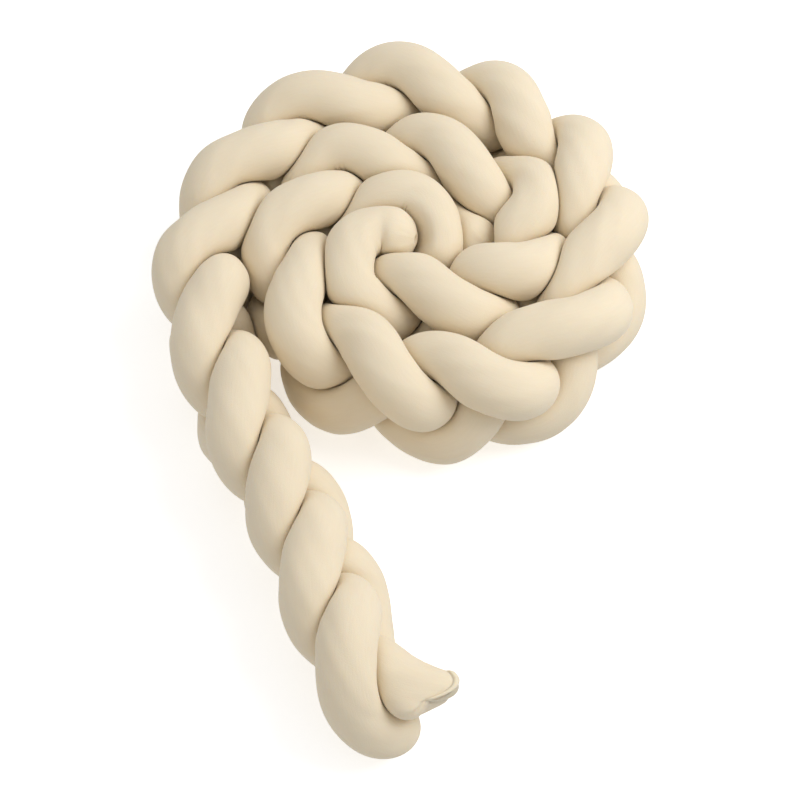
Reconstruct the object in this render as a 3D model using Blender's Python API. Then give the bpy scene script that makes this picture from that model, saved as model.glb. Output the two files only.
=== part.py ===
# A braided crib bumper: three stuffed fabric tubes in a flat plait that stands on its edge, rolled up
# from one end into a loose spiral, with the other end left out as a straight tail.
# Metres, +Z up. The braid is laid out by its top edge: each row of STATIONS is one lobe of that edge.

import math

import bmesh
import bpy
import numpy as np

# Tubes
TUBE_RADIUS = 0.0270
FABRIC_GAP = 0.0014
MOST_SWELL = 1.07
CORNER_SHARPNESS = 9.0
CREAM = (0.80, 0.69, 0.50, 1.0)

# The sewn end: its width and thickness are shares of the tube's own
SEAM_TAPER = 0.047
SEAM_WIDTH = 0.68
SEAM_THICKNESS = 0.14
SEAM_EDGE = 0.0055
SEAM_LIFT = 0.0085
SEAM_BULGE = 0.0135
SEAM_SKEW = 0.0105
SEAM_BELLY = 0.013

# Braid
BRAID_HALF_HEIGHT = 0.0365
CONTACT_DISTANCE = 0.039
LOWEST_AXIS = 0.026

# Along itself a strand presses on its own turns beyond OWN_TURN; room is measured to what lies
# nearer than OWN_STRETCH as its own, and beyond NEXT_TURN as a neighbour
OWN_TURN = 0.035
OWN_STRETCH = 0.05
NEXT_TURN = 0.11

# How finely it is worked out and drawn
STATION_STEP = 0.15
CURVE_STEP = 0.004
AXIS_SPACING = 0.009
FINE_AXIS_SPACING = 0.005
RING_SPACING = 0.018
RING_SIDES = 12
SETTLE_ROUNDS = 30
CLEARING_ROUNDS = 10

# One row a lobe of the top edge, from the loose end to the middle of the roll:
# x, y and z of the tube's axis in the middle of the lobe, the lean in degrees of the lower edge to the
# right of the direction of travel (inwards in the roll), its sweep in degrees along the travel, and how
# far the tubes swing to either side of the braid.
STATIONS = [
    (-0.043, -0.325, 0.089, 24, 18, 0.003),
    (-0.075, -0.243, 0.089, 24, 19, 0.002),
    (-0.106, -0.161, 0.092, 19, 19, 0.003),
    (-0.144, -0.074, 0.098, 7, 10, 0.004),
    (-0.175, 0.028, 0.100, 7, 2, 0.011),
    (-0.181, 0.117, 0.100, 3, 0, 0.0165),
    (-0.137, 0.210, 0.100, 0, 0, 0.0165),
    (-0.065, 0.276, 0.100, 0, 0, 0.0165),
    (0.025, 0.297, 0.102, 0, 0, 0.0165),
    (0.115, 0.260, 0.098, 0, 0, 0.0165),
    (0.166, 0.187, 0.100, -1, 5, 0.0165),
    (0.182, 0.104, 0.100, -2, 12, 0.0165),
    (0.142, 0.009, 0.102, -1, 15, 0.0165),
    (0.069, -0.040, 0.099, 4, 18, 0.0165),
    (-0.020, -0.015, 0.100, -5, 21, 0.0165),
    (-0.093, 0.047, 0.100, 2, 16, 0.0165),
    (-0.095, 0.147, 0.100, 0, 0, 0.0165),
    (-0.034, 0.211, 0.100, 0, 0, 0.0165),
    (0.056, 0.200, 0.100, 0, 0, 0.0165),
    (0.125, 0.147, 0.100, 0, 0, 0.0165),
    (0.100, 0.073, 0.100, 0, 0, 0.0165),
    (0.030, 0.053, 0.100, 0, 0, 0.0165),
    (-0.047, 0.086, 0.100, 0, 0, 0.0165),
    (0.012, 0.150, 0.100, 0, 0, 0.0165),
    (0.070, 0.117, 0.100, 0, 0, 0.0165),
]

# Each strand: the station span that the plait fills, and the free ends beyond it as x, y, z rows.
STRANDS = {
    "strand_a": {
        "phase": 0,
        "from": 0.35,
        "to": 23.3,
        "tail": [
            (-0.009, -0.350, 0.028),
            (-0.020, -0.356, 0.034),
            (-0.034, -0.351, 0.050),
            (-0.042, -0.340, 0.072),
        ],
        "centre": [(0.070, 0.127, 0.080)],
    },
    "strand_b": {
        "phase": 1,
        "from": 0.4,
        "to": 21.4,
        "tail": [(0.031, -0.341, 0.064), (0.014, -0.340, 0.065), (-0.006, -0.331, 0.062)],
        "centre": [
            (-0.043, 0.057, 0.092),
            (-0.047, 0.087, 0.1025),
            (-0.041, 0.104, 0.104),
            (-0.029, 0.115, 0.102),
            (-0.016, 0.1175, 0.101),
            (-0.007, 0.114, 0.103),
        ],
    },
    "strand_c": {
        "phase": 2,
        "from": 0.65,
        "to": 22.5,
        "tail": [(-0.028, -0.326, 0.028), (-0.030, -0.314, 0.027)],
        "centre": [
            (-0.005, 0.160, 0.102),
            (0.019, 0.153, 0.102),
            (0.033, 0.128, 0.098),
            (0.035, 0.104, 0.088),
        ],
    },
}

SEAMED_STRAND = "strand_b"


def clear_scene():
    for obj in list(bpy.data.objects):
        bpy.data.objects.remove(obj, do_unlink=True)


def spline_slopes(knots, values):
    # Slopes of the smooth cubic through the rows of values, with free ends.
    count = len(knots)
    step = np.diff(knots)
    matrix = np.zeros((count, count))
    right = np.zeros((count, values.shape[1]))
    matrix[0, :2] = (2.0, 1.0)
    matrix[-1, -2:] = (1.0, 2.0)
    right[0] = 3.0 * (values[1] - values[0]) / step[0]
    right[-1] = 3.0 * (values[-1] - values[-2]) / step[-1]
    for i in range(1, count - 1):
        before, after = step[i - 1], step[i]
        matrix[i, i - 1] = after
        matrix[i, i] = 2.0 * (before + after)
        matrix[i, i + 1] = before
        right[i] = 3.0 * (
            after * (values[i] - values[i - 1]) / before + before * (values[i + 1] - values[i]) / after
        )
    return np.linalg.solve(matrix, right)


def spline_points(knots, values, at):
    # The same cubic, read at the places in at; past its ends it goes straight on.
    slopes = spline_slopes(knots, values)
    found = []
    for place in at:
        inside = min(max(place, knots[0]), knots[-1])
        i = min(max(int(np.searchsorted(knots, inside, side="right")) - 1, 0), len(knots) - 2)
        step = knots[i + 1] - knots[i]
        t = (inside - knots[i]) / step
        point = (
            (1 + 2 * t) * (1 - t) ** 2 * values[i]
            + t * (1 - t) ** 2 * step * slopes[i]
            + t * t * (3 - 2 * t) * values[i + 1]
            + t * t * (t - 1) * step * slopes[i + 1]
        )
        if place < knots[0]:
            point = point + (place - knots[0]) * slopes[0]
        if place > knots[-1]:
            point = point + (place - knots[-1]) * slopes[-1]
        found.append(point)
    return np.array(found)


def braid_points(phase, places):
    # Where one strand runs at the given stations: a figure of eight around the middle of the braid.
    rows = np.array(STATIONS, float)
    knots = np.arange(len(rows), dtype=float)
    top = spline_points(knots, rows, places)
    ahead = spline_points(knots, rows, [place + 0.05 for place in places])
    travel = ahead[:, :2] - top[:, :2]
    travel /= np.linalg.norm(travel, axis=1)[:, None]
    right = np.column_stack([travel[:, 1], -travel[:, 0], np.zeros(len(top))])
    lean = np.radians(top[:, 3])[:, None]
    sweep = np.tan(np.radians(top[:, 4]))[:, None] * np.column_stack([travel, np.zeros(len(top))])
    down = np.sin(lean) * right - np.cos(lean) * np.array([0.0, 0.0, 1.0]) + sweep
    outward = -np.cos(lean) * right - np.sin(lean) * np.array([0.0, 0.0, 1.0])
    turn = math.pi / 2 + 2 * math.pi * (np.array(places)[:, None] - phase) / 3
    middle = top[:, :3] + BRAID_HALF_HEIGHT * down
    return middle - BRAID_HALF_HEIGHT * np.sin(turn) * down + top[:, 5:6] * np.sin(2 * turn) * outward


def evenly_spaced(points, spacing):
    length = np.concatenate([[0.0], np.cumsum(np.linalg.norm(np.diff(points, axis=0), axis=1))])
    count = max(int(round(length[-1] / spacing)), 4)
    at = np.linspace(0.0, length[-1], count + 1)
    return np.column_stack([np.interp(at, length, points[:, i]) for i in range(3)])


def strand_path(row, spacing):
    places = np.arange(row["from"], row["to"] + 1e-6, STATION_STEP)
    points = np.vstack([row["tail"], braid_points(row["phase"], places), row["centre"]])
    knots = np.concatenate([[0.0], np.cumsum(np.linalg.norm(np.diff(points, axis=0), axis=1))])
    fine = spline_points(knots, points, np.arange(0.0, knots[-1], CURVE_STEP))
    return evenly_spaced(fine, spacing)


def smoothed(shift, rounds):
    for _ in range(rounds):
        middle = (shift[:-2] + 2 * shift[1:-1] + shift[2:]) / 4
        shift = np.vstack([(2 * shift[:1] + shift[1:2]) / 3, middle, (2 * shift[-1:] + shift[-2:-1]) / 3])
    return shift


def settle(paths, spacing):
    # Strands that lie nearer than two pressed tubes are moved apart, a little in each round.
    names = list(paths)
    owner = np.concatenate([np.full(len(paths[name]), i) for i, name in enumerate(names)])
    order = np.concatenate([np.arange(len(paths[name])) for name in names])
    start = np.vstack([paths[name] for name in names])
    near_self = int(2.6 * TUBE_RADIUS / spacing) + 1
    same = (owner[:, None] == owner[None, :]) & (np.abs(order[:, None] - order[None, :]) <= near_self)
    points = start.copy()
    for _ in range(SETTLE_ROUNDS):
        between = points[:, None, :] - points[None, :, :]
        distance = np.linalg.norm(between, axis=2) + 1e-9
        press = np.where(same, 0.0, np.maximum(CONTACT_DISTANCE - distance, 0.0))
        weight = np.maximum(np.sum(press > 0, axis=1), 1)[:, None]
        push = np.sum(between / distance[:, :, None] * press[:, :, None], axis=1) / weight
        moved = points + 0.5 * push - start
        moved[:, 2] = np.maximum(moved[:, 2], LOWEST_AXIS - start[:, 2])
        for i in range(len(names)):
            moved[owner == i] = smoothed(moved[owner == i], 2)
        points = start + 0.93 * moved
    return {name: points[owner == i] for i, name in enumerate(names)}


def ring_frames(path):
    # The direction of travel at each ring, and two sides that don't twist round it.
    tangent = np.gradient(path, axis=0)
    tangent /= np.linalg.norm(tangent, axis=1)[:, None]
    side = np.cross(tangent[0], (0.0, 0.0, 1.0))
    if np.linalg.norm(side) < 0.1:
        side = np.array([1.0, 0.0, 0.0])
    sides = []
    for direction in tangent:
        side = side - np.dot(side, direction) * direction
        side = side / np.linalg.norm(side)
        sides.append(side)
    sides = np.array(sides)
    return tangent, sides, np.cross(tangent, sides)


def end_rings(path, tangent, seamed):
    # Centre and size of every ring: four smaller ones round off an end, a seamed end has only its edge.
    slopes = (0.35, 0.70, 1.05, 1.35)
    lead = [(TUBE_RADIUS * math.sin(a), math.cos(a)) for a in reversed(slopes)]
    if seamed:
        lead = [(SEAM_EDGE, 1.0)]
    centres = [path[0] - tangent[0] * out for out, _ in lead]
    centres += list(path)
    centres += [path[-1] + tangent[-1] * TUBE_RADIUS * math.sin(a) for a in slopes]
    size = [share for _, share in lead] + [1.0] * len(path) + [math.cos(a) for a in slopes]
    return np.array(centres), np.array(size)


def limit(centres, directions, others):
    # How far each ring point may go out before it is nearer to one of the other axes.
    reach = np.full(directions.shape[:2], 1.0)
    for i, centre in enumerate(centres):
        between = others - centre
        distance = np.linalg.norm(between, axis=1)
        near = (distance < 4 * TUBE_RADIUS) & (distance > 1e-6)
        if not near.any():
            continue
        facing = directions[i] @ (between[near] / distance[near][:, None]).T
        room = (distance[near] / 2 - FABRIC_GAP / 2)[None, :] / np.maximum(facing, 1e-3)
        reach[i] = np.min(np.where(facing > 1e-3, room, 1.0), axis=1)
    return reach


def blended(values):
    total = sum(np.power(value, -CORNER_SHARPNESS) for value in values)
    return np.power(total, -1.0 / CORNER_SHARPNESS)


def ring_radii(centres, size, limits):
    # Each ring swells where nothing presses on it, until its section has the tube's own area.
    shape = limits[0].shape
    low = np.full(len(centres), TUBE_RADIUS)
    high = low * MOST_SWELL
    wanted = TUBE_RADIUS**2
    for _ in range(14):
        middle = (low + high) / 2
        radius = blended([np.repeat(middle[:, None], shape[1], axis=1)] + limits)
        full = np.mean(radius**2, axis=1) >= wanted
        high = np.where(full, middle, high)
        low = np.where(full, low, middle)
    free = smoothed(((low + high) / 2)[:, None], 3)[:, 0] * size
    return blended([np.repeat(free[:, None], shape[1], axis=1)] + limits)


def press_seam(points, centres, path):
    # The sewn end: the tube is drawn flat towards a seam that bows out, its far corner ahead of the near
    # one. The top slopes down to it and the underside stays round up to it.
    along = path[0] - path[3]
    along /= np.linalg.norm(along)
    across = np.cross(along, (0.0, 0.0, 1.0))
    across /= np.linalg.norm(across)
    thick = np.cross(across, along)
    pressed = points.copy()
    for i, centre in enumerate(centres):
        back = np.dot(path[0] - centre, along)
        if back > SEAM_TAPER:
            break
        full = math.sin(math.pi / 2 * max(back, 0.0) / SEAM_TAPER)
        near = (1 - full) ** 1.4
        offset = points[i] - centre
        height = offset @ thick
        side = offset @ across * (SEAM_WIDTH + (1 - SEAM_WIDTH) * full**0.8)
        rise = np.where(height > 0, full**0.85, full**0.25)
        lift = height * (SEAM_THICKNESS + (1 - SEAM_THICKNESS) * rise) + near * SEAM_LIFT
        bow = side / (TUBE_RADIUS * SEAM_WIDTH)
        belly = np.clip(-height / TUBE_RADIUS, 0.0, 1.0) * np.clip(0.4 + 0.6 * bow, 0.0, 1.0)
        out = near * (SEAM_BULGE * (1 - bow * bow) - SEAM_SKEW * bow + SEAM_BELLY * belly)
        out = out + offset @ along
        pressed[i] = centre + side[:, None] * across + lift[:, None] * thick + out[:, None] * along
    return pressed


def tube_mesh(name, rings):
    # A circle extruded from ring to ring, each corner set to its place, with both ends closed.
    bm = bmesh.new()
    ring = bmesh.ops.create_circle(bm, segments=len(rings[0]), radius=TUBE_RADIUS)["verts"]
    edges = list(bm.edges)
    ends = [edges]
    for corner, place in zip(ring, rings[0]):
        corner.co = place
    for places in rings[1:]:
        made = bmesh.ops.extrude_edge_only(bm, edges=edges)["geom"]
        new = {item for item in made if isinstance(item, bmesh.types.BMVert)}
        ring = [next(e.other_vert(v) for e in v.link_edges if e.other_vert(v) in new) for v in ring]
        edges = [item for item in made if isinstance(item, bmesh.types.BMEdge)]
        edges = [edge for edge in edges if edge.verts[0] in new and edge.verts[1] in new]
        for corner, place in zip(ring, places):
            corner.co = place
    ends.append(edges)
    caps = [bmesh.ops.contextual_create(bm, geom=end)["faces"][0] for end in ends]
    bmesh.ops.poke(bm, faces=caps)
    bmesh.ops.recalc_face_normals(bm, faces=bm.faces)
    mesh = bpy.data.meshes.new(name)
    bm.to_mesh(mesh)
    bm.free()
    mesh.shade_smooth()
    return mesh


def strand_material(name):
    material = bpy.data.materials.new(name)
    material.use_nodes = True
    shader = material.node_tree.nodes["Principled BSDF"]
    shader.inputs["Base Color"].default_value = CREAM
    shader.inputs["Roughness"].default_value = 0.9
    return material


def strand_rings(paths, spacing, sides):
    rings = {}
    for name, path in paths.items():
        even = evenly_spaced(path, spacing)
        tangent, side, up = ring_frames(even)
        centres, size = end_rings(even, tangent, name == SEAMED_STRAND)
        lead = len(centres) - len(even) - 4
        frames = [np.vstack([[v[0]] * lead, v, [v[-1]] * 4]) for v in (tangent, side, up)]
        angle = np.linspace(0.0, 2 * math.pi, sides, endpoint=False)
        around = (
            np.cos(angle)[None, :, None] * frames[1][:, None, :]
            + np.sin(angle)[None, :, None] * frames[2][:, None, :]
        )
        rings[name] = (centres, size, around)
    return rings


def axis_sites(paths):
    # Every axis with its running length, and a little more of it beyond each end.
    sites = {}
    for name, path in paths.items():
        more = np.array([[0.3], [0.6]]) * TUBE_RADIUS
        start = (path[0] - path[1]) / np.linalg.norm(path[0] - path[1])
        end = (path[-1] - path[-2]) / np.linalg.norm(path[-1] - path[-2])
        points = np.vstack([(path[0] + start * more)[::-1], path, path[-1] + end * more])
        length = np.concatenate([[0.0], np.cumsum(np.linalg.norm(np.diff(points, axis=0), axis=1))])
        sites[name] = (points, length)
    return sites


def own_limit(centres, directions, site):
    # A strand meets itself in the next turn of the roll, and on the inside of a tight bend.
    reach = np.full(directions.shape[:2], 1.0)
    points, length = site
    for i, centre in enumerate(centres):
        here = length[np.argmin(np.linalg.norm(points - centre, axis=1))]
        far = points[np.abs(length - here) > OWN_TURN]
        reach[i] = limit(centres[i : i + 1], directions[i : i + 1], far)[0]
    return reach


def distances(samples, points):
    square = np.sum(samples**2, axis=1)[:, None] + np.sum(points**2, axis=1) - 2 * samples @ points.T
    return np.sqrt(np.maximum(square, 0.0))


def room_left(samples, length, name, sites):
    # How much nearer each sample is to its own stretch of axis than to anything else.
    own, own_length = sites[name]
    gap = distances(samples, own)
    apart = np.abs(length[:, None] - own_length[None, :])
    nearest = np.min(np.where(apart < OWN_STRETCH, gap, 1.0), axis=1)
    others = np.min(np.where(apart > NEXT_TURN, gap, 1.0), axis=1)
    for other, (points, _) in sites.items():
        if other != name:
            others = np.minimum(others, np.min(distances(samples, points), axis=1))
    return others - nearest


def keep_clear(points, centres, name, sites):
    # Corners are drawn in wherever a face between them would reach into a neighbour.
    own, own_length = sites[name]
    length = own_length[np.argmin(distances(centres, own), axis=1)]
    for _ in range(CLEARING_ROUNDS):
        turned = np.roll(points, -1, axis=1)
        samples = [
            (points[:-1] + points[1:] + turned[:-1] + turned[1:]) / 4,
            (points[:-1] + turned[:-1]) / 2,
            (points[:-1] + points[1:]) / 2,
        ]
        middle = np.repeat((length[:-1] + length[1:]) / 2, points.shape[1])
        draw = np.zeros(points.shape[:2])
        for sample in samples:
            room = room_left(sample.reshape(-1, 3), middle, name, sites).reshape(sample.shape[:2])
            short = np.maximum(FABRIC_GAP - room, 0.0)
            for rows in (draw[:-1], draw[1:]):
                np.maximum(rows, short, out=rows)
            turned_draw = np.roll(draw, -1, axis=1)
            turned_draw[:-1] = np.maximum(turned_draw[:-1], short)
            turned_draw[1:] = np.maximum(turned_draw[1:], short)
            draw = np.roll(turned_draw, 1, axis=1)
        if draw.max() < 1e-5:
            break
        inward = centres[:, None, :] - points
        size = np.linalg.norm(inward, axis=2) + 1e-9
        points = points + inward * (0.6 * np.minimum(draw, 0.3 * size) / size)[:, :, None]
    return points


def strand_points():
    paths = {name: strand_path(row, AXIS_SPACING) for name, row in STRANDS.items()}
    paths = settle(paths, AXIS_SPACING)
    fine = {name: evenly_spaced(path, FINE_AXIS_SPACING) for name, path in paths.items()}
    sites = axis_sites(fine)
    built = {}
    for name, (centres, size, around) in strand_rings(fine, RING_SPACING, RING_SIDES).items():
        limits = [limit(centres, around, sites[other][0]) for other in STRANDS if other != name]
        limits.append(own_limit(centres, around, sites[name]))
        radius = ring_radii(centres, size, limits)
        points = centres[:, None, :] + around * radius[:, :, None]
        if name == SEAMED_STRAND:
            points = press_seam(points, centres, fine[name])
        built[name] = keep_clear(points, centres, name, sites)
    return built


def build():
    clear_scene()
    built = strand_points()
    corners = np.vstack([points.reshape(-1, 3) for points in built.values()])
    middle = (corners.min(axis=0) + corners.max(axis=0)) / 2
    for name, points in built.items():
        placed = points - (middle[0], middle[1], 0.0)
        placed[:, :, 2] = np.maximum(placed[:, :, 2], 0.0)  # pressed flat where it rests
        mesh = tube_mesh(name, placed)
        obj = bpy.data.objects.new(name, mesh)
        mesh.materials.append(strand_material(name))
        bpy.context.scene.collection.objects.link(obj)
    return middle


build()
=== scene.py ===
import math

import bmesh
import bpy
import numpy as np
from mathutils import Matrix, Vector, noise


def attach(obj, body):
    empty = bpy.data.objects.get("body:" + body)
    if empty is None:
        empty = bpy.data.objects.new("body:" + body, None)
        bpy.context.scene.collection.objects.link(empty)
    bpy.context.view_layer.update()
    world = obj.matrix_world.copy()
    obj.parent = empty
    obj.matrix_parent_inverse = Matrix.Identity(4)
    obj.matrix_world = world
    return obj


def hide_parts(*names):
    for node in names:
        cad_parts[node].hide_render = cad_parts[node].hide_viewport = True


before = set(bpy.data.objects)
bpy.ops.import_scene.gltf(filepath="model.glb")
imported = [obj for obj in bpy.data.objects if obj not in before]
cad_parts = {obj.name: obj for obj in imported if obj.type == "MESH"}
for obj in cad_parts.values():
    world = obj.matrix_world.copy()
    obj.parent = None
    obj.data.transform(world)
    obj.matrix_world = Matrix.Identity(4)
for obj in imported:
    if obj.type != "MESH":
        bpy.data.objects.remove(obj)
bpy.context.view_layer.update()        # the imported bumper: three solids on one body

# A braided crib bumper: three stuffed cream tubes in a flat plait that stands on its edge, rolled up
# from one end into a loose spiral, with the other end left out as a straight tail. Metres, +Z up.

plait = {
    "tubeRadius": 0.0264,
    "halfHeight": 0.0365,        # from the middle of the plait to the middle of a tube on its edge
    "lookAhead": 0.05,           # share of a lobe, to read the direction of travel
    "pointSpacing": 0.15,        # share of a lobe, between the points that a strand is drawn through
    "fineSpacing": 0.004,
    "axisSpacing": 0.009,
    "lowestAxis": 0.026,
    "contactDistance": 0.039,    # between the axes of two tubes that press on each other
    "selfReach": 2.6,            # tube radii along itself that a strand doesn't press on
    "settleRounds": 30,
    "settleSmoothing": 2,        # rounds
    "push": 0.5,                 # share of what is too near that one round clears
    "hold": 0.93,                # share of the moves that is kept from one round to the next
}

# One row a lobe of the top edge, from the loose end to the middle of the roll:
# x, y and z of the tube's axis in the middle of the lobe, the lean in degrees of the lower edge to the
# right of the direction of travel, its sweep in degrees along the travel, and the swing to either side.
lobes = [
    (-0.043, -0.325, 0.089, 24, 18, 0.003),
    (-0.075, -0.243, 0.089, 24, 19, 0.002),
    (-0.106, -0.161, 0.092, 19, 19, 0.003),
    (-0.144, -0.074, 0.098, 7, 10, 0.004),
    (-0.1765, 0.028, 0.100, 7, 2, 0.007),
    (-0.181, 0.116, 0.100, 3, 0, 0.013),
    (-0.137, 0.210, 0.100, 0, 0, 0.0165),
    (-0.068, 0.276, 0.100, 0, 0, 0.0165),
    (0.027, 0.297, 0.103, 0, 6, 0.0165),
    (0.1135, 0.2605, 0.098, 0, 9, 0.010),
    (0.167, 0.190, 0.101, -1, 10, 0.0165),
    (0.183, 0.105, 0.100, -2, 10, 0.0165),
    (0.142, 0.009, 0.102, -1, 15, 0.0165),
    (0.068, -0.039, 0.099, 4, 18, 0.0165),
    (-0.020, -0.018, 0.100, -5, 21, 0.0165),
    (-0.093, 0.047, 0.100, 2, 16, 0.0165),
    (-0.094, 0.147, 0.100, 4, 0, 0.0165),
    (-0.034, 0.211, 0.100, 0, 0, 0.0165),
    (0.058, 0.200, 0.103, 0, 0, 0.0165),
    (0.128, 0.145, 0.097, 0, 3, 0.0165),
    (0.100, 0.073, 0.100, 0, 0, 0.0165),
    (0.030, 0.053, 0.100, 0, 7, 0.0165),
    (-0.047, 0.086, 0.100, 0, 0, 0.0165),
    (0.012, 0.148, 0.099, 0, 0, 0.0165),
    (0.070, 0.117, 0.100, 0, 0, 0.0165),
]

# Each strand: the span of lobes that it is plaited through, and its free ends beyond that.
strands = {
    "strand_a": {
        "phase": 0, "from": 0.35, "to": 23.3,
        "tail": [(-0.009, -0.350, 0.028), (-0.020, -0.356, 0.034), (-0.034, -0.351, 0.050),
                 (-0.042, -0.340, 0.072)],
        "centre": [(0.070, 0.127, 0.080)],
    },
    "strand_b": {
        "phase": 1, "from": 0.4, "to": 21.4,
        "tail": [(0.031, -0.341, 0.064), (0.014, -0.340, 0.065), (-0.006, -0.331, 0.062)],
        "centre": [(-0.043, 0.057, 0.092), (-0.047, 0.087, 0.1025), (-0.041, 0.104, 0.104),
                   (-0.029, 0.115, 0.102), (-0.016, 0.1175, 0.101), (-0.007, 0.114, 0.103)],
    },
    "strand_c": {
        "phase": 2, "from": 0.65, "to": 22.5,
        "tail": [(-0.028, -0.326, 0.028), (-0.030, -0.314, 0.027)],
        "centre": [(-0.005, 0.160, 0.102), (0.019, 0.153, 0.102), (0.033, 0.128, 0.098),
                   (0.035, 0.104, 0.088)],
    },
}


def splineSlopes(knots, values):
    # slopes of the smooth cubic through the rows of values, with free ends
    count = len(knots)
    step = np.diff(knots)
    matrix = np.zeros((count, count))
    right = np.zeros((count, values.shape[1]))
    matrix[0, :2] = (2.0, 1.0)
    matrix[-1, -2:] = (1.0, 2.0)
    right[0] = 3.0 * (values[1] - values[0]) / step[0]
    right[-1] = 3.0 * (values[-1] - values[-2]) / step[-1]
    for i in range(1, count - 1):
        before, after = step[i - 1], step[i]
        matrix[i, i - 1] = after
        matrix[i, i] = 2.0 * (before + after)
        matrix[i, i + 1] = before
        right[i] = 3.0 * (
            after * (values[i] - values[i - 1]) / before + before * (values[i + 1] - values[i]) / after
        )
    return np.linalg.solve(matrix, right)


def splinePoints(knots, values, at):
    # the same cubic read at the places in at; past its ends it goes straight on
    slopes = splineSlopes(knots, values)
    at = np.asarray(at, float)
    inside = np.clip(at, knots[0], knots[-1])
    i = np.clip(np.searchsorted(knots, inside, side="right") - 1, 0, len(knots) - 2)
    step = (knots[i + 1] - knots[i])[:, None]
    t = (inside - knots[i])[:, None] / step
    points = (
        (1 + 2 * t) * (1 - t) ** 2 * values[i]
        + t * (1 - t) ** 2 * step * slopes[i]
        + t * t * (3 - 2 * t) * values[i + 1]
        + t * t * (t - 1) * step * slopes[i + 1]
    )
    points += np.minimum(at - knots[0], 0.0)[:, None] * slopes[0]
    points += np.maximum(at - knots[-1], 0.0)[:, None] * slopes[-1]
    return points


def runningLength(points):
    return np.concatenate([[0.0], np.cumsum(np.linalg.norm(np.diff(points, axis=0), axis=1))])


def plaitPoints(phase, places):
    # where one strand runs: a figure of eight around the middle of the plait
    rows = np.array(lobes, float)
    knots = np.arange(len(rows), dtype=float)
    top = splinePoints(knots, rows, places)
    travel = (splinePoints(knots, rows, places + plait["lookAhead"]) - top)[:, :2]
    travel /= np.linalg.norm(travel, axis=1)[:, None]
    zero = np.zeros(len(top))
    right = np.column_stack([travel[:, 1], -travel[:, 0], zero])
    upright = np.array([0.0, 0.0, 1.0])
    lean = np.radians(top[:, 3])[:, None]
    sweep = np.tan(np.radians(top[:, 4]))[:, None] * np.column_stack([travel, zero])
    down = np.sin(lean) * right - np.cos(lean) * upright + sweep
    outward = -np.cos(lean) * right - np.sin(lean) * upright
    turn = math.pi / 2 + 2 * math.pi * (places[:, None] - phase) / 3
    middle = top[:, :3] + plait["halfHeight"] * down
    return middle - plait["halfHeight"] * np.sin(turn) * down + top[:, 5:6] * np.sin(2 * turn) * outward


def evenlySpaced(points, spacing):
    length = runningLength(points)
    count = max(int(round(length[-1] / spacing)), 4)
    at = np.linspace(0.0, length[-1], count + 1)
    return np.column_stack([np.interp(at, length, points[:, i]) for i in range(3)])


def strandPath(row):
    # the tail, the plaited span and the end in the middle of the roll, as one smooth line
    places = np.arange(row["from"], row["to"] + 1e-6, plait["pointSpacing"])
    points = np.vstack([row["tail"], plaitPoints(row["phase"], places), row["centre"]])
    knots = runningLength(points)
    fine = splinePoints(knots, points, np.arange(0.0, knots[-1], plait["fineSpacing"]))
    return evenlySpaced(fine, plait["axisSpacing"])


def smoothed(rows, rounds):
    for _ in range(rounds):
        middle = (rows[:-2] + 2 * rows[1:-1] + rows[2:]) / 4
        rows = np.vstack([(2 * rows[:1] + rows[1:2]) / 3, middle, (2 * rows[-1:] + rows[-2:-1]) / 3])
    return rows


def settled(paths):
    # strands that lie nearer than two pressed tubes are moved apart, a little in each round
    names = list(paths)
    owner = np.concatenate([np.full(len(paths[name]), i) for i, name in enumerate(names)])
    order = np.concatenate([np.arange(len(paths[name])) for name in names])
    start = np.vstack([paths[name] for name in names])
    nearSelf = int(plait["selfReach"] * plait["tubeRadius"] / plait["axisSpacing"]) + 1
    same = (owner[:, None] == owner[None, :]) & (np.abs(order[:, None] - order[None, :]) <= nearSelf)
    points = start.copy()
    for _ in range(plait["settleRounds"]):
        between = points[:, None, :] - points[None, :, :]
        distance = np.linalg.norm(between, axis=2) + 1e-9
        press = np.where(same, 0.0, np.maximum(plait["contactDistance"] - distance, 0.0))
        weight = np.maximum(np.sum(press > 0, axis=1), 1)[:, None]
        push = np.sum(between / distance[:, :, None] * press[:, :, None], axis=1) / weight
        moved = points + plait["push"] * push - start
        moved[:, 2] = np.maximum(moved[:, 2], plait["lowestAxis"] - start[:, 2])
        for i in range(len(names)):
            moved[owner == i] = smoothed(moved[owner == i], plait["settleSmoothing"])
        points = start + plait["hold"] * moved
    return {name: points[owner == i] for i, name in enumerate(names)}


tube = {
    "ringSpacing": 0.0025,
    "sides": 72,
    "pathSmoothing": 4,          # rounds
    "pastEnd": (0.15, 0.3, 0.45, 0.6),   # tube radii: points of the axis beyond each end
    "gap": 0.0006,               # between two tubes that press on each other
    "neighbours": 4,             # tube radii within which the other axes are looked at
    "ownTurn": 0.035,            # nearer than this along itself a strand doesn't press on itself
    "leastFacing": 0.001,
    "bendSmoothing": 3,          # rounds
    "mostSwell": 1.045,          # how much a tube widens where nothing presses on it
    "swellSteps": 14,
    "swellSmoothing": 36,        # rounds
    "cornerSharpness": 10.0,     # of the edge between a pressed side and a free one
    "evened": 2,                 # rounds
    "leastRadius": 0.0012,
    "slimmer": 0.015,            # share by which a tube is thinner at the loose end
    "slimLength": 0.45,          # from there to its full thickness
}


def finePath(path):
    length = runningLength(path)
    count = int(round(length[-1] / tube["ringSpacing"]))
    fine = splinePoints(length, path, np.linspace(0.0, length[-1], count + 1))
    return smoothed(fine, tube["pathSmoothing"])


def ringFrames(path):
    # the direction of travel at each ring, and two sides that don't twist round it
    tangent = np.gradient(path, axis=0)
    tangent /= np.linalg.norm(tangent, axis=1)[:, None]
    side = np.cross(tangent[0], (0.0, 0.0, 1.0))
    sides = []
    for direction in tangent:
        side = side - np.dot(side, direction) * direction
        side = side / np.linalg.norm(side)
        sides.append(side)
    sides = np.array(sides)
    return tangent, sides, np.cross(tangent, sides)


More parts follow.
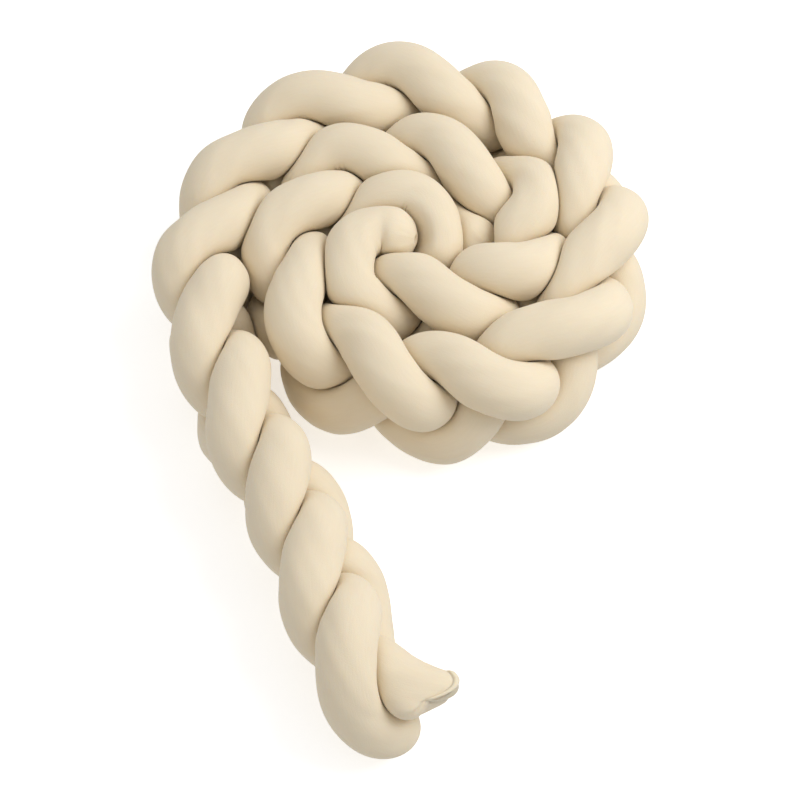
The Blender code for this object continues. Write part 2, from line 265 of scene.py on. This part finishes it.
def axisSites(paths):
    # every axis with its running length, and a little more of it beyond each end
    sites = {}
    for name, path in paths.items():
        more = np.array(tube["pastEnd"])[:, None] * plait["tubeRadius"]
        start = (path[0] - path[1]) / np.linalg.norm(path[0] - path[1])
        end = (path[-1] - path[-2]) / np.linalg.norm(path[-1] - path[-2])
        points = np.vstack([(path[0] + start * more)[::-1], path, path[-1] + end * more])
        sites[name] = (points, runningLength(points))
    return sites


def reachTo(centres, around, others, length=None, otherLength=None):
    # how far each ring point may go out before it is nearer to one of the other axes; a metre is no limit
    reach = np.full(around.shape[:2], 1.0)
    for i, centre in enumerate(centres):
        between = others - centre
        distance = np.linalg.norm(between, axis=1)
        near = (distance < tube["neighbours"] * plait["tubeRadius"]) & (distance > 1e-6)
        if otherLength is not None:
            near &= np.abs(otherLength - length[i]) > tube["ownTurn"]
        if not near.any():
            continue
        facing = around[i] @ (between[near] / distance[near][:, None]).T
        room = (distance[near] / 2 - tube["gap"] / 2)[None, :] / np.maximum(facing, tube["leastFacing"])
        reach[i] = np.min(np.where(facing > tube["leastFacing"], room, 1.0), axis=1)
    return reach


def bendReach(tangent, around, along):
    # on the inside of a bend a ring ends at the middle of the bend, where it meets the next rings
    bend = smoothed(np.gradient(tangent, along, axis=0), tube["bendSmoothing"])
    inward = np.einsum("ijk,ik->ij", around, bend)
    return 1.0 / np.maximum(inward, 1.0)


def blended(values):
    # the smallest of the values at each point, with rounded corners between them
    total = sum(np.power(value, -tube["cornerSharpness"]) for value in values)
    return np.power(total, -1.0 / tube["cornerSharpness"])


def stuffedRadius(size, limits, uneven):
    # each ring swells where nothing presses on it, until its section has the tube's own area
    low = np.full(len(size), plait["tubeRadius"])
    high = low * tube["mostSwell"]
    full = np.ones_like(limits[0])
    for _ in range(tube["swellSteps"]):
        middle = (low + high) / 2
        radius = blended([middle[:, None] * full] + limits)
        filled = np.mean(radius**2, axis=1) >= plait["tubeRadius"] ** 2
        high = np.where(filled, middle, high)
        low = np.where(filled, low, middle)
    free = smoothed(((low + high) / 2)[:, None], tube["swellSmoothing"])[:, 0] * size
    return blended([free[:, None] * full + uneven * size[:, None]] + limits)


def evened(radius, rounds):
    # a little smoothing along and around, so that no press line is a hard edge
    for _ in range(rounds):
        radius = smoothed(radius, 1)
        radius = (np.roll(radius, 1, axis=1) + 2 * radius + np.roll(radius, -1, axis=1)) / 4
    return radius


# The stuffing shows as soft lumps, and as long shallow folds that run with the tube.
stuffing = {
    "lumps": 0.0016,
    "lumpSize": 0.045,
    "folds": 0.0013,
    "foldLength": 0.085,
    "foldsAround": 2.3,
    "foldTwist": 2.2,            # radians round the tube in one length of a fold
    "firstSeed": 1.9,
    "seedStep": 7.3,             # from one strand to the next
}


def unevenness(centres, around, along, seed):
    # lumps and long folds of the stuffing, as metres out of the round
    out = np.zeros(around.shape[:2])
    lump = 1.0 / stuffing["lumpSize"]
    circle = stuffing["foldsAround"]
    for i, centre in enumerate(centres):
        far = along[i] / stuffing["foldLength"]
        for j, direction in enumerate(around[i]):
            turn = 2 * math.pi * j / tube["sides"] + stuffing["foldTwist"] * far
            spot = Vector((centre + direction * plait["tubeRadius"]) * lump)
            fold = Vector((circle * math.cos(turn), circle * math.sin(turn), far + seed))
            out[i, j] = stuffing["lumps"] * noise.noise(spot) + stuffing["folds"] * noise.noise(fold)
    return out


# Creases in the fabric on the inside of the tightest bends.
creases = {
    "spacing": 0.0088,
    "width": 0.18,               # as a share of the spacing
    "depth": 0.0026,
    "from": 0.38,                # the shortening of the fabric at which they start
    "full": 0.68,                # and at which they are deepest
    "drift": 0.35,               # share of the spacing by which they are unevenly spaced
    "driftsPerMetre": 30.0,
    "wander": 0.5,               # share of the spacing by which one strays from a straight line
    "wandersPerMetre": 25.0,
    "wandersPerSide": 0.25,
    "strength": 0.75,
    "strengthSpread": 0.9,
    "strengthStep": 3.7,         # keeps the strengths of neighbours apart
    "topFree": 0.85,             # a side that faces up more than this has none
    "topFade": 0.35,             # and one that faces up this much less has them in full
}


def creaseDepth(tangent, around, along, seed):
    # the fabric is shortened on the inside of a bend, and past a limit it folds across the tube
    bend = np.gradient(tangent, axis=0) / np.gradient(along)[:, None]
    bend = smoothed(bend, tube["bendSmoothing"])
    short = np.einsum("ijk,ik->ij", around, bend) * plait["tubeRadius"]
    depth = np.zeros_like(short)
    for i in np.nonzero(short.max(axis=1) > creases["from"])[0]:
        drift = creases["drift"] * noise.noise(Vector((along[i] * creases["driftsPerMetre"], seed, 0.5)))
        for j in np.nonzero(short[i] > creases["from"])[0]:
            spot = Vector((j * creases["wandersPerSide"], along[i] * creases["wandersPerMetre"], seed))
            place = along[i] / creases["spacing"] + drift
            place += creases["wander"] * noise.noise(spot)
            spot = Vector((math.floor(place) * creases["strengthStep"], seed, 0.0))
            reach = creases["strength"] + creases["strengthSpread"] * noise.noise(spot)
            share = (short[i, j] - creases["from"]) / (creases["full"] - creases["from"])
            share = min(max(share * reach, 0.0), 1.0)
            off = (place - math.floor(place) - 0.5) / creases["width"]
            depth[i, j] = creases["depth"] * share * math.exp(-off * off)
    return depth * np.clip((creases["topFree"] - around[:, :, 2]) / creases["topFade"], 0.0, 1.0)


# The ends inside the roll are rounded and drawn together in a small puckered dimple.
gatheredEnd = {
    "rings": 14,
    "reach": 1.36,               # radians of the round end before it turns inwards
    "turn": (0.992, 0.205),      # the distance out and the radius of the ring where it turns
    "dimple": [(0.985, 0.155), (0.955, 0.110), (0.900, 0.080), (0.840, 0.060)],
    "pleats": 11,
    "pleatDepth": 0.0019,
    "pleatLength": 0.022,
    "pleatRise": 1.25,           # so that the pleats stop before the dimple
    "pleatRoundness": 0.7,
    "pleatWander": 3.0,
    "pleatStrength": 0.7,
    "pleatSpread": 0.9,
    "otherSeed": 3.0,            # for the other end of the same strand
}


def roundEnd():
    # the distance out and the radius of each ring of a gathered end, as shares of the tube's radius
    slopes = np.linspace(0.0, gatheredEnd["reach"], gatheredEnd["rings"] + 1)[1:]
    rows = [(math.sin(slope), math.cos(slope)) for slope in slopes]
    rows[-1] = gatheredEnd["turn"]
    return np.array(rows + gatheredEnd["dimple"])


def pleatDepth(centres, along, seed):
    # the little folds that run into the dimple of a gathered end
    fromEnd = along[-1] - along
    share = np.clip(1 - fromEnd / gatheredEnd["pleatLength"], 0.0, 1.0)
    angle = np.linspace(0.0, 2 * math.pi, tube["sides"], endpoint=False)
    wander = np.array([
        noise.noise(Vector((2 * math.cos(turn), 2 * math.sin(turn), seed))) for turn in angle
    ])
    wave = 0.5 - 0.5 * np.cos(gatheredEnd["pleats"] * angle + gatheredEnd["pleatWander"] * wander)
    rise = np.sin(math.pi * np.clip(gatheredEnd["pleatRise"] * share, 0.0, 1.0))
    size = share * rise ** gatheredEnd["pleatRoundness"]
    strength = gatheredEnd["pleatStrength"] + gatheredEnd["pleatSpread"] * wander
    return gatheredEnd["pleatDepth"] * size[:, None] * (wave * strength)[None, :]


# The end that shows at the tail is flattened towards a short seam, whose edges stand out as a lip.
# Its near corner is the one on the camera's side.
seamedEnd = {
    "strand": "strand_b",
    "directionRings": 6,         # rings that give the direction of the end
    "taper": 0.047,              # length over which the tube is flattened
    "halfWidth": 0.66,           # of the seam, as a share of the tube's radius
    "halfThickness": 0.06,       # the same, of the tube at the seam
    "widening": 0.8,             # lower is wider before the seam
    "nearWidening": 0.35,        # how much lower on the near side of the underside
    "topSlope": 0.85,            # lower is rounder
    "undersideSlope": 0.12,
    "sag": 0.30,                 # share by which the underside and its near side are fuller there
    "spread": 1.4,               # lower takes what follows further back from the seam
    "skew": 0.0105,              # how far the far corner stands out, and the near one stands back
    "bulge": 0.0135,             # how far the middle of the seam stands out
    "belly": 0.0095,             # how far the underside bulges out below the seam
    "bellyMiddle": 0.3,          # share of it under the middle of the seam
    "bellyNear": 0.9,            # and how much more or less under its near or far corner
    "lift": 0.0110,              # of the seam above the middle of the tube
    "tilt": 0.0040,              # how much the near corner is raised, and the far one lowered
    "roughness": 0.0032,
    "ripples": 60.0,             # to the metre
    "lip": 0.0055,
    "lipThickness": 0.0027,      # half of it
    "lipSides": 0.35,            # share of the radius within which its two sides thin out
    "lipEdge": 0.94,             # share of the lip at which it stops getting thinner
    "lipLean": 0.8,              # lower has its thickest part nearer to the stitches
    "lipPuff": 0.6,              # lower is a fuller lip
    "stitchThickness": 0.0005,   # half of it
    "rings": 9,
    "gathers": 0.0009,
    "gatherSpacing": 0.0085,
    "gatherLength": 0.009,
    "gatherStart": 0.002,
    "gatherWander": 5.0,
    "gathersOnTop": 0.6,         # share of their depth on the top
    "gathersFar": 0.4,           # and how much more at the far corner
}


def flatEnd():
    # the rings beyond the seamed end: straight on from the stitches to the edge of the lip
    steps = np.linspace(0.0, seamedEnd["lip"], seamedEnd["rings"] + 1)[1:] / plait["tubeRadius"]
    return np.column_stack([steps, np.ones(len(steps))])


def seamDirections(path):
    # out of the end, across it to the near side, and up
    along = path[0] - path[seamedEnd["directionRings"]]
    along /= np.linalg.norm(along)
    across = np.cross(along, (0.0, 0.0, 1.0))
    across /= np.linalg.norm(across)
    return along, across, np.cross(across, along)


def flattenedHeight(height, side, bow, ripple, back, full):
    # the top slopes down to the seam, the underside stays round up to it
    top = height > 0
    rise = np.where(top, full ** seamedEnd["topSlope"], full ** seamedEnd["undersideSlope"])
    lift = height * (seamedEnd["halfThickness"] + (1 - seamedEnd["halfThickness"]) * rise)
    lift = lift * np.where(top, 1.0, 1 + seamedEnd["sag"] * math.sin(math.pi * full))
    wave = np.sin(
        2 * math.pi * side / seamedEnd["gatherSpacing"] + seamedEnd["gatherWander"] * ripple
    )
    fade = math.exp(-back / seamedEnd["gatherLength"]) * (1 - math.exp(-back / seamedEnd["gatherStart"]))
    strength = np.where(top, seamedEnd["gathersOnTop"] - seamedEnd["gathersFar"] * bow, 1.0)
    return lift + seamedEnd["gathers"] * wave * fade * strength


def lipHeight(height, back):
    # the lip is thin at the stitches, thick along its middle and thin again at its edge
    place = min(-back / seamedEnd["lip"], seamedEnd["lipEdge"])
    puff = math.sin(math.pi * place ** seamedEnd["lipLean"]) ** seamedEnd["lipPuff"]
    stitches = seamedEnd["stitchThickness"]
    tall = stitches + (seamedEnd["lipThickness"] - stitches) * puff
    return tall * np.clip(height / (seamedEnd["lipSides"] * plait["tubeRadius"]), -1.0, 1.0)


def pressedSeam(points, centres, path):
    # the tube is drawn flat towards its stitches, and the lip follows beyond them
    along, across, thick = seamDirections(path)
    radius = plait["tubeRadius"]
    half = radius * seamedEnd["halfWidth"]
    pressed = points.copy()
    for i, centre in enumerate(centres):
        back = float(np.dot(path[0] - centre, along))
        if back > seamedEnd["taper"]:
            break
        offset = points[i] - centre
        full = math.sin(math.pi / 2 * max(back, 0.0) / seamedEnd["taper"])
        height = offset @ thick
        nearSide = np.clip(offset @ across / radius, 0.0, 1.0)
        under = full ** (seamedEnd["widening"] - seamedEnd["nearWidening"] * nearSide)
        widened = np.where(height > 0, full ** seamedEnd["widening"], under)
        side = offset @ across * (seamedEnd["halfWidth"] + (1 - seamedEnd["halfWidth"]) * widened)
        bow = np.clip(side / half, -1.0, 1.0)
        side = side * (1 + seamedEnd["sag"] * nearSide * math.sin(math.pi * full))
        ripple = np.array([
            noise.noise(Vector((seamedEnd["ripples"] * place, 0.3, 0.7))) for place in side
        ])
        if back > 0.0:
            lift = flattenedHeight(height, side, bow, ripple, back, full)
        else:
            lift = lipHeight(height, back)
        near = (1 - full) ** seamedEnd["spread"]
        out = near * (seamedEnd["bulge"] * (1 - bow * bow) - seamedEnd["skew"] * bow)
        lift = lift + near * (
            seamedEnd["lift"] + seamedEnd["tilt"] * bow + seamedEnd["roughness"] * ripple
        )
        belly = np.sin(math.pi / 2 * np.clip(-height / radius, 0.0, 1.0))
        belly = belly * np.clip(seamedEnd["bellyMiddle"] + seamedEnd["bellyNear"] * bow, 0.0, 1.0)
        out = out + near * seamedEnd["belly"] * belly + offset @ along
        pressed[i] = centre + side[:, None] * across + lift[:, None] * thick + out[:, None] * along
    return pressed


# Over the tight hook in the middle of the roll the fabric spans the groove between the two arms.
hookSpan = {
    "strand": "strand_b",
    "middle": (-0.018, 0.103),
    "size": (0.026, 0.033),      # half the length in x and in y of the oval where it is filled
    "edge": 1.6,                 # higher is a narrower edge of the oval
    "grid": 0.12,                # side of the square that is looked at
    "cell": 0.0015,
    "underTop": 0.01,            # how far below the tube's upper axis the fabric still counts
    "reach": 7,                  # cells; grooves narrower than twice this are closed
    "levelled": 6,               # rounds of smoothing of the filled level
    "deep": 0.012,               # fabric deeper than this below it stays where it is
    "filled": 0.001,             # raised by more than this it is eased in full
    "widened": 3,                # rounds that take the easing to the fabric next to it
    "eased": 40,                 # rounds of smoothing of what was filled
}


def closedHeights(spots, heights, counts):
    # the tops in a grid of cells, with every groove in them filled level
    grid = np.full(counts, -1.0)
    np.maximum.at(grid, tuple(spots.T), heights)
    reach = hookSpan["reach"]
    shifts = [(i, j) for i in range(-reach, reach + 1) for j in range(-reach, reach + 1)
              if i * i + j * j <= reach * reach]
    raised = np.max([np.roll(grid, shift, (0, 1)) for shift in shifts], axis=0)
    closed = np.min([np.roll(raised, shift, (0, 1)) for shift in shifts], axis=0)
    cross = ((0, 0), (1, 0), (-1, 0), (0, 1), (0, -1))
    for _ in range(hookSpan["levelled"]):
        closed = sum(np.roll(closed, shift, (0, 1)) for shift in cross) / len(cross)
    return closed


def nextTo(grid):
    # the mean of the four neighbours along and around the tube
    padded = np.concatenate([grid[:1], grid, grid[-1:]])
    return (padded[:-2] + padded[2:] + np.roll(grid, 1, axis=1) + np.roll(grid, -1, axis=1)) / 4


def spannedHook(points):
    # the fabric in the groove is raised to the filled level and then eased
    flat = points.reshape(-1, 3).copy()
    cell = hookSpan["cell"]
    low = np.array(hookSpan["middle"]) - hookSpan["grid"] / 2
    counts = (int(hookSpan["grid"] / cell), int(hookSpan["grid"] / cell))
    spots = np.floor((flat[:, :2] - low) / cell).astype(int)
    within = np.all((spots >= 0) & (spots < counts), axis=1)
    within &= flat[:, 2] > plait["lowestAxis"] + 2 * plait["halfHeight"] - hookSpan["underTop"]
    closed = closedHeights(spots[within], flat[within, 2], counts)
    off = (flat[within, :2] - hookSpan["middle"]) / hookSpan["size"]
    share = np.clip(hookSpan["edge"] - hookSpan["edge"] * np.linalg.norm(off, axis=1), 0.0, 1.0)
    share = share * share * (3 - 2 * share)
    short = closed[tuple(spots[within].T)] - flat[within, 2]
    near = np.clip(2 - 2 * short / hookSpan["deep"], 0.0, 1.0)
    raised = np.zeros(len(flat))
    raised[within] = np.where(short > 0, short * near, 0.0) * share
    flat[:, 2] += raised
    points = flat.reshape(points.shape)
    filled = np.clip(raised / hookSpan["filled"], 0.0, 1.0).reshape(points.shape[:2])
    for _ in range(hookSpan["widened"]):
        filled = np.maximum(filled, nextTo(filled[:, :, None])[:, :, 0])
    for _ in range(hookSpan["eased"]):
        points = points + filled[:, :, None] * (nextTo(points) - points)
    return points


def strandRings(name, path, sites):
    # the rings of one tube, from its tail end to its end in the roll, and their running length
    tangent, side, up = ringFrames(path)
    radius = plait["tubeRadius"]
    seamed = name == seamedEnd["strand"]
    lead, trail = (flatEnd() if seamed else roundEnd())[::-1], roundEnd()
    centres = np.vstack([
        path[0] - tangent[0] * lead[:, :1] * radius,
        path,
        path[-1] + tangent[-1] * trail[:, :1] * radius,
    ])
    along = runningLength(centres)
    size = np.concatenate([lead[:, 1], np.ones(len(path)), trail[:, 1]])
    size *= 1 - tube["slimmer"] * np.clip(1 - along / tube["slimLength"], 0.0, 1.0)
    tangents, across, upward = [
        np.vstack([[v[0]] * len(lead), v, [v[-1]] * len(trail)]) for v in (tangent, side, up)
    ]
    angle = np.linspace(0.0, 2 * math.pi, tube["sides"], endpoint=False)
    around = (
        np.cos(angle)[None, :, None] * across[:, None, :] + np.sin(angle)[None, :, None] * upward[:, None, :]
    )
    own, ownLength = sites[name]
    length = ownLength[[np.argmin(np.linalg.norm(own - centre, axis=1)) for centre in centres]]
    limits = [reachTo(centres, around, sites[other][0]) for other in strands if other != name]
    bend = bendReach(tangents, around, along)
    limits.append(np.minimum(reachTo(centres, around, own, length, ownLength), bend))
    seed = stuffing["seedStep"] * strands[name]["phase"] + stuffing["firstSeed"]
    pressed = stuffedRadius(size, limits, unevenness(centres, around, along, seed))
    pressed = evened(pressed, tube["evened"])
    inside = slice(len(lead), len(lead) + len(path))
    pressed[inside] -= creaseDepth(tangent, around[inside], along[inside], seed)
    pressed -= pleatDepth(centres, along, seed)
    if not seamed:
        pressed -= pleatDepth(centres, along[-1] - along, seed + gatheredEnd["otherSeed"])
    pressed = np.maximum(pressed, tube["leastRadius"])
    points = centres[:, None, :] + around * pressed[:, :, None]
    if seamed:
        points = pressedSeam(points, centres, path)
    if name == hookSpan["strand"]:
        points = spannedHook(points)
    return points, along


def tubeMesh(name, rings, along):
    # a grid rolled into a tube: a row of corners for each ring, its two long edges welded, its ends closed
    sides = len(rings[0])
    bm = bmesh.new()
    alongLayer = bm.verts.layers.float.new("along")
    corners = bmesh.ops.create_grid(bm, x_segments=sides, y_segments=len(rings) - 1, size=1.0)["verts"]
    column = {}
    for number, corner in enumerate(corners):
        row, side = divmod(number, sides + 1)
        corner.co = rings[row][side % sides]
        corner[alongLayer] = along[row]
        column[corner] = side
    first, last = corners[:: sides + 1], corners[sides :: sides + 1]
    step = 2 * math.pi * plait["tubeRadius"] / sides
    weave = bm.loops.layers.uv.new("weave")
    for face in bm.faces:
        for loop in face.loops:
            loop[weave].uv = (loop.vert[alongLayer], column[loop.vert] * step)
    bmesh.ops.weld_verts(bm, targetmap=dict(zip(last, first)))
    bmesh.ops.holes_fill(bm, edges=[edge for edge in bm.edges if edge.is_boundary])
    caps = [face for face in bm.faces if len(face.verts) == sides]
    bmesh.ops.poke(bm, faces=caps)
    bmesh.ops.recalc_face_normals(bm, faces=bm.faces)
    mesh = bpy.data.meshes.new(name)
    bm.to_mesh(mesh)
    bm.free()
    mesh.shade_smooth()
    return mesh


def buildStrands():
    paths = settled({name: strandPath(row) for name, row in strands.items()})
    paths = {name: finePath(path) for name, path in paths.items()}
    sites = axisSites(paths)
    built = {}
    for name in strands:
        points, along = strandRings(name, paths[name], sites)
        built[name] = (points, along)
        print("strand", name, "rings", len(points), "length", round(float(along[-1]), 3))
    return built


def middleOf(built):
    corners = np.vstack([points.reshape(-1, 3) for points, _ in built.values()])
    middle = (corners.min(axis=0) + corners.max(axis=0)) / 2
    return np.array([middle[0], middle[1], 0.0])


# A matt stretch cotton with a short nap.
fabric = {
    "light": (0.86, 0.755, 0.575, 1.0),
    "dark": (0.79, 0.68, 0.505, 1.0),
    "clouds": 14.0,              # soft patches to the metre
    "cloudShare": 0.75,
    "yarn": (55.0, 620.0, 1.0),  # streaks in each metre along the tube and around it
    "yarnShare": 0.55,
    "yarnRelief": 0.6,           # of the streaks, where the nap is 1
    "nap": 1100.0,               # to the metre
    "napHeight": 0.0004,
    "reliefStrength": 0.45,
    "surface": {
        "Roughness": 0.9,
        "Specular IOR Level": 0.25,
        "Sheen Weight": 0.22,
        "Sheen Roughness": 0.45,
        "Sheen Tint": (1.0, 0.95, 0.86, 1.0),
        "Subsurface Weight": 0.25,
        "Subsurface Radius": (1.0, 0.7, 0.4),
        "Subsurface Scale": 0.008,
    },
}


def setInputs(node, values):
    for name, value in values.items():
        node.inputs[name].default_value = value


def addNode(tree, kind, **values):
    node = tree.nodes.new(kind)
    setInputs(node, values)
    return node


def addMath(tree, operation, first, second):
    node = tree.nodes.new("ShaderNodeMath")
    node.operation = operation
    for socket, value in zip(node.inputs, (first, second)):
        if isinstance(value, float):
            socket.default_value = value
        else:
            tree.links.new(value, socket)
    return node.outputs[0]


def creamFabric():
    # soft patches, faint yarn streaks along the tube and a fine grain
    material = bpy.data.materials.new("creamFabric")
    material.use_nodes = True
    tree = material.node_tree
    shader = tree.nodes["Principled BSDF"]
    setInputs(shader, fabric["surface"])
    place = tree.nodes.new("ShaderNodeTexCoord")
    weave = tree.nodes.new("ShaderNodeUVMap")
    weave.uv_map = "weave"
    cloud = addNode(tree, "ShaderNodeTexNoise", Scale=fabric["clouds"], Detail=3.0)
    tree.links.new(place.outputs["Object"], cloud.inputs["Vector"])
    stretch = addNode(tree, "ShaderNodeMapping", Scale=fabric["yarn"])
    tree.links.new(weave.outputs["UV"], stretch.inputs["Vector"])
    yarn = addNode(tree, "ShaderNodeTexNoise", Scale=1.0, Detail=2.0, Roughness=0.6)
    tree.links.new(stretch.outputs["Vector"], yarn.inputs["Vector"])
    nap = addNode(tree, "ShaderNodeTexNoise", Scale=fabric["nap"], Detail=2.0)
    tree.links.new(place.outputs["Object"], nap.inputs["Vector"])
    patch = addMath(tree, "MULTIPLY", cloud.outputs["Fac"], fabric["cloudShare"])
    streak = addMath(tree, "MULTIPLY", yarn.outputs["Fac"], fabric["yarnShare"])
    tone = tree.nodes.new("ShaderNodeMix")
    tone.data_type = "RGBA"
    tone.inputs["A"].default_value = fabric["light"]
    tone.inputs["B"].default_value = fabric["dark"]
    tree.links.new(addMath(tree, "ADD", patch, streak), tone.inputs["Factor"])
    tree.links.new(tone.outputs["Result"], shader.inputs["Base Color"])
    threads = addMath(tree, "MULTIPLY", yarn.outputs["Fac"], fabric["yarnRelief"])
    relief = addMath(tree, "ADD", threads, nap.outputs["Fac"])
    bump = addNode(
        tree, "ShaderNodeBump", Strength=fabric["reliefStrength"], Distance=fabric["napHeight"]
    )
    tree.links.new(relief, bump.inputs["Height"])
    tree.links.new(bump.outputs["Normal"], shader.inputs["Normal"])
    return material


# The view, and a bright studio with one large soft lamp from the right.
setting = {
    "elevation": 57.0,           # degrees above the floor
    "distance": 3.0,
    "lens": 144.0,
    "sky": 0.64,
    "white": (1.0, 1.0, 1.0, 1.0),
    "lampPlace": (1.6, 0.35, 1.9),
    "lampAim": (0.0, 0.05, 0.0),
    "lampSize": 2.2,
    "lampPower": 36.0,
    "floorSize": 8.0,
    "floorColour": (0.95, 0.95, 0.95, 1.0),
    "floorRoughness": 0.9,
    "floorGlow": 0.44,           # a lit white table
}


def addCamera(middle):
    tilt = math.radians(setting["elevation"])
    data = bpy.data.cameras.new("camera")
    data.lens = setting["lens"]
    camera = bpy.data.objects.new("camera", data)
    camera.location = (
        -middle[0],
        -setting["distance"] * math.cos(tilt) - middle[1],
        setting["distance"] * math.sin(tilt),
    )
    camera.rotation_euler = (math.pi / 2 - tilt, 0.0, 0.0)
    bpy.context.scene.collection.objects.link(camera)
    bpy.context.scene.camera = camera


def addLight():
    world = bpy.data.worlds.new("studio")
    world.use_nodes = True
    setInputs(world.node_tree.nodes["Background"], {"Color": setting["white"], "Strength": setting["sky"]})
    bpy.context.scene.world = world
    data = bpy.data.lights.new("key", "AREA")
    data.shape = "DISK"
    data.size = setting["lampSize"]
    data.energy = setting["lampPower"]
    lamp = bpy.data.objects.new("key", data)
    lamp.location = setting["lampPlace"]
    direction = Vector(setting["lampAim"]) - Vector(setting["lampPlace"])
    lamp.rotation_euler = direction.to_track_quat("-Z", "Y").to_euler()
    bpy.context.scene.collection.objects.link(lamp)
    bpy.context.scene.view_settings.view_transform = "Standard"


def addFloor():
    bm = bmesh.new()
    bmesh.ops.create_grid(bm, x_segments=1, y_segments=1, size=setting["floorSize"] / 2)
    mesh = bpy.data.meshes.new("floor")
    bm.to_mesh(mesh)
    bm.free()
    floor = bpy.data.objects.new("floor", mesh)
    bpy.context.scene.collection.objects.link(floor)
    material = bpy.data.materials.new("paleFloor")
    material.use_nodes = True
    setInputs(material.node_tree.nodes["Principled BSDF"], {
        "Base Color": setting["floorColour"],
        "Roughness": setting["floorRoughness"],
        "Emission Color": setting["white"],
        "Emission Strength": setting["floorGlow"],
    })
    mesh.materials.append(material)
    floor.visible_diffuse = False        # so that the glow doesn't light the undersides


built = buildStrands()
middle = middleOf(built)
print("middle of the plan", [round(float(value), 4) for value in middle])
cloth = creamFabric()
for name, (points, along) in built.items():
    placed = points - middle
    placed[:, :, 2] = np.maximum(placed[:, :, 2], 0.0)
    piece = bpy.data.objects.new(name + "_fabric", tubeMesh(name + "_fabric", placed, along))
    piece.data.materials.append(cloth)
    bpy.context.scene.collection.objects.link(piece)
    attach(piece, "root")
    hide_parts(name)
    print("piece", piece.name, "faces", len(piece.data.polygons))

addCamera(middle)
addLight()
addFloor()
print("camera, light and floor")
